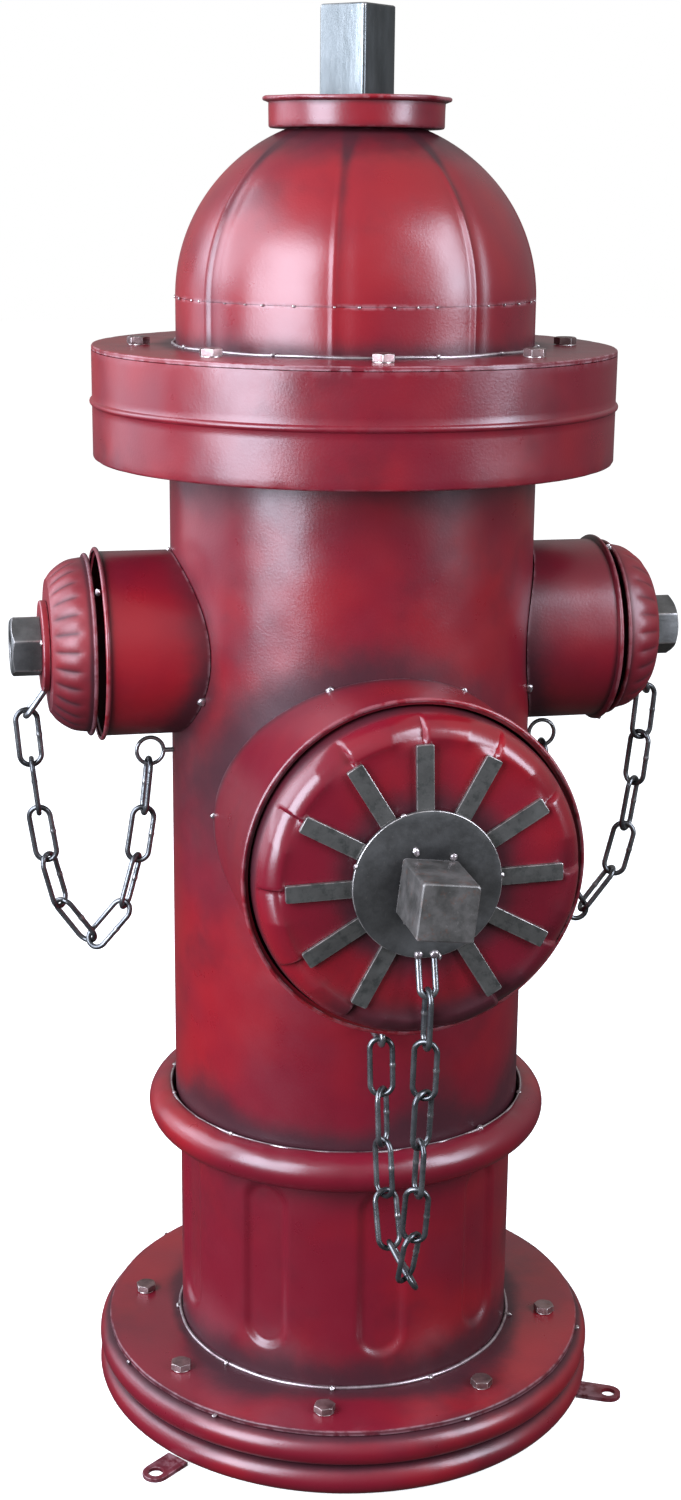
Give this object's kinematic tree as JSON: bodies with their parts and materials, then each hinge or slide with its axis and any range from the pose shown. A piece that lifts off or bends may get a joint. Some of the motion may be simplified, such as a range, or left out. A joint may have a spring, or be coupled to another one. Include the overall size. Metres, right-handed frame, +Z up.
{
  "type": "fire hydrant",
  "caption": "Red sheet-steel fire hydrant with a domed top, one large front outlet, two side outlets with caps, and three hanging chains.",
  "frame": {"origin": "on the ground at the centre of the lower base ring, on the upright axis", "axes": "+Z up along the barrel; -Y towards the large front outlet; the side outlets lie along -X (left, seen from the front) and +X (right)"},
  "size_m": [0.4566, 0.4688, 0.9503],
  "materials": {
    "red_paint": "satin crimson, worn dark in the seams",
    "dark_steel": "dark, bright at worn edges",
    "chain_steel": "dark wire with bright highlights"
  },
  "bodies": {
    "hydrant": {"base_lower_ring": "red_paint", "base_upper_ring": "red_paint", "base_plate": "red_paint", "anchor_tab_1": "red_paint", "anchor_tab_2": "red_paint", "anchor_tab_3": "red_paint", "pedestal": "red_paint", "collar": "red_paint", "barrel": "red_paint", "flange_drum": "red_paint", "flange_top_plate": "red_paint", "dome_skirt": "red_paint", "dome": "red_paint", "crown_pan": "red_paint", "crown_nut": "dark_steel", "left_outlet": "red_paint", "left_cap": "red_paint", "left_cap_washer": "red_paint", "left_cap_nut": "dark_steel", "right_outlet": "red_paint", "right_cap": "red_paint", "right_cap_washer": "red_paint", "right_cap_nut": "dark_steel", "front_outlet": "red_paint", "front_cap": "red_paint", "front_cap_bars": "dark_steel", "front_hub_disc": "dark_steel", "front_cap_nut": "dark_steel", "left_eye_ring": "dark_steel", "right_eye_ring": "dark_steel", "front_staple": "dark_steel"},
    "left_link_01": {"left_link_01": "chain_steel"},
    "left_link_02": {"left_link_02": "chain_steel"},
    "left_link_03": {"left_link_03": "chain_steel"},
    "left_link_04": {"left_link_04": "chain_steel"},
    "left_link_05": {"left_link_05": "chain_steel"},
    "left_link_06": {"left_link_06": "chain_steel"},
    "left_link_07": {"left_link_07": "chain_steel"},
    "left_link_08": {"left_link_08": "chain_steel"},
    "left_link_09": {"left_link_09": "chain_steel"},
    "right_link_01": {"right_link_01": "chain_steel"},
    "right_link_02": {"right_link_02": "chain_steel"},
    "right_link_03": {"right_link_03": "chain_steel"},
    "right_link_04": {"right_link_04": "chain_steel"},
    "right_link_05": {"right_link_05": "chain_steel"},
    "right_link_06": {"right_link_06": "chain_steel"},
    "right_link_07": {"right_link_07": "chain_steel"},
    "right_link_08": {"right_link_08": "chain_steel"},
    "right_link_09": {"right_link_09": "chain_steel"},
    "front_link_01": {"front_link_01": "chain_steel"},
    "front_link_02": {"front_link_02": "chain_steel"},
    "front_link_03": {"front_link_03": "chain_steel"},
    "front_link_04": {"front_link_04": "chain_steel"},
    "front_link_05": {"front_link_05": "chain_steel"},
    "front_link_06": {"front_link_06": "chain_steel"},
    "front_link_07": {"front_link_07": "chain_steel"},
    "front_link_08": {"front_link_08": "chain_steel"},
    "front_link_09": {"front_link_09": "chain_steel"},
    "front_link_10": {"front_link_10": "chain_steel"},
    "front_link_11": {"front_link_11": "chain_steel"}
  },
  "joints": [
    {"name": "left_joint_01", "type": "hinge", "parent": "hydrant", "child": "left_link_01", "pos_m": [-0.13825, 0.00001, 0.46524], "axis": [-0.9089, 0.0001, 0.4171], "range_deg": [-12, 8]},
    {"name": "left_joint_02", "type": "hinge", "parent": "left_link_01", "child": "left_link_02", "pos_m": [-0.14209, -0.0002, 0.43156], "axis": [0.737, -0.0021, -0.6759], "range_deg": [-12, 8]},
    {"name": "left_joint_03", "type": "hinge", "parent": "left_link_02", "child": "left_link_03", "pos_m": [-0.14756, -0.00049, 0.39811], "axis": [-0.5671, 0.004, 0.8236], "range_deg": [-12, 8]},
    {"name": "left_joint_04", "type": "hinge", "parent": "left_link_03", "child": "left_link_04", "pos_m": [-0.1565, -0.00119, 0.36541], "axis": [0.4172, -0.008, -0.9088], "range_deg": [-12, 8]},
    {"name": "left_joint_05", "type": "hinge", "parent": "left_link_04", "child": "left_link_05", "pos_m": [-0.17937, 0.00023, 0.34194], "axis": [-0.2421, -0.0013, 0.9702], "range_deg": [-12, 8]},
    {"name": "left_joint_06", "type": "hinge", "parent": "left_link_05", "child": "left_link_06", "pos_m": [-0.19927, 0.00128, 0.36868], "axis": [0.149, 0.0093, -0.9888], "range_deg": [-12, 8]},
    {"name": "left_joint_07", "type": "hinge", "parent": "left_link_06", "child": "left_link_07", "pos_m": [-0.2076, 0.00064, 0.40153], "axis": [-0.1164, -0.0062, 0.9932], "range_deg": [-12, 8]},
    {"name": "left_joint_08", "type": "hinge", "parent": "left_link_07", "child": "left_link_08", "pos_m": [-0.21279, 0.00038, 0.43502], "axis": [0.0979, 0.0054, -0.9952], "range_deg": [-12, 8]},
    {"name": "left_joint_09", "type": "hinge", "parent": "left_link_08", "child": "left_link_09", "pos_m": [-0.21651, 0.00018, 0.46872], "axis": [-0.0863, -0.0047, 0.9963], "range_deg": [-12, 8]},
    {"name": "right_joint_01", "type": "hinge", "parent": "hydrant", "child": "right_link_01", "pos_m": [0.13816, 0, 0.46523], "axis": [0.8984, 0, 0.4392], "range_deg": [-8, 10]},
    {"name": "right_joint_02", "type": "hinge", "parent": "right_link_01", "child": "right_link_02", "pos_m": [0.14153, -0.00002, 0.4315], "axis": [-0.7134, -0.0002, -0.7007], "range_deg": [-8, 10]},
    {"name": "right_joint_03", "type": "hinge", "parent": "right_link_02", "child": "right_link_03", "pos_m": [0.14628, -0.00005, 0.39793], "axis": [0.5414, 0.0004, 0.8408], "range_deg": [-8, 10]},
    {"name": "right_joint_04", "type": "hinge", "parent": "right_link_03", "child": "right_link_04", "pos_m": [0.1538, -0.00006, 0.36487], "axis": [-0.3978, -0.0004, -0.9175], "range_deg": [-8, 10]},
    {"name": "right_joint_05", "type": "hinge", "parent": "right_link_04", "child": "right_link_05", "pos_m": [0.17357, -0.00049, 0.33974], "axis": [0.2376, 0.003, 0.9714], "range_deg": [-8, 10]},
    {"name": "right_joint_06", "type": "hinge", "parent": "right_link_05", "child": "right_link_06", "pos_m": [0.19401, 0.00022, 0.36802], "axis": [-0.1421, 0.0016, -0.9898], "range_deg": [-8, 10]},
    {"name": "right_joint_07", "type": "hinge", "parent": "right_link_06", "child": "right_link_07", "pos_m": [0.20223, 0.00003, 0.40087], "axis": [0.1083, -0.0003, 0.9941], "range_deg": [-8, 10]},
    {"name": "right_joint_08", "type": "hinge", "parent": "right_link_07", "child": "right_link_08", "pos_m": [0.20708, 0.00005, 0.43442], "axis": [-0.0908, 0.0007, -0.9959], "range_deg": [-8, 10]},
    {"name": "right_joint_09", "type": "hinge", "parent": "right_link_08", "child": "right_link_09", "pos_m": [0.21055, 0.00001, 0.46814], "axis": [0.0796, -0.0004, 0.9968], "range_deg": [-8, 10]},
    {"name": "front_joint_01", "type": "hinge", "parent": "hydrant", "child": "front_link_01", "pos_m": [-0.01153, -0.15117, 0.31521], "axis": [0.1241, -0.761, 0.6368], "range_deg": [-6, 7]},
    {"name": "front_joint_02", "type": "hinge", "parent": "front_link_01", "child": "front_link_02", "pos_m": [-0.01109, -0.15349, 0.28139], "axis": [-0.0956, 0.5894, -0.8022], "range_deg": [-6, 7]},
    {"name": "front_joint_03", "type": "hinge", "parent": "front_link_02", "child": "front_link_03", "pos_m": [-0.01053, -0.15657, 0.24763], "axis": [0.0736, -0.4563, 0.8868], "range_deg": [-6, 7]},
    {"name": "front_joint_04", "type": "hinge", "parent": "front_link_03", "child": "front_link_04", "pos_m": [-0.00965, -0.16114, 0.21406], "axis": [-0.0561, 0.3532, -0.9339], "range_deg": [-6, 7]},
    {"name": "front_joint_05", "type": "hinge", "parent": "front_link_04", "child": "front_link_05", "pos_m": [-0.00807, -0.16935, 0.18116], "axis": [0.0402, -0.2616, 0.9644], "range_deg": [-6, 7]},
    {"name": "front_joint_06", "type": "hinge", "parent": "front_link_05", "child": "front_link_06", "pos_m": [-0.00402, -0.19745, 0.17307], "axis": [-0.0197, 0.1197, -0.9926], "range_deg": [-6, 7]},
    {"name": "front_joint_07", "type": "hinge", "parent": "front_link_06", "child": "front_link_07", "pos_m": [-0.00274, -0.20749, 0.20547], "axis": [0.016, -0.084, 0.9963], "range_deg": [-6, 7]},
    {"name": "front_joint_08", "type": "hinge", "parent": "front_link_07", "child": "front_link_08", "pos_m": [-0.00175, -0.21243, 0.23899], "axis": [-0.0127, 0.0685, -0.9976], "range_deg": [-6, 7]},
    {"name": "front_joint_09", "type": "hinge", "parent": "front_link_08", "child": "front_link_09", "pos_m": [-0.00114, -0.21573, 0.27272], "axis": [0.0109, -0.0589, 0.9982], "range_deg": [-6, 7]},
    {"name": "front_joint_10", "type": "hinge", "parent": "front_link_09", "child": "front_link_10", "pos_m": [-0.00069, -0.21816, 0.30653], "axis": [-0.0098, 0.0525, -0.9986], "range_deg": [-6, 7]},
    {"name": "front_joint_11", "type": "hinge", "parent": "front_link_10", "child": "front_link_11", "pos_m": [-0.00032, -0.2201, 0.34037], "axis": [0.0088, -0.0477, 0.9988], "range_deg": [-6, 7]}
  ]
}
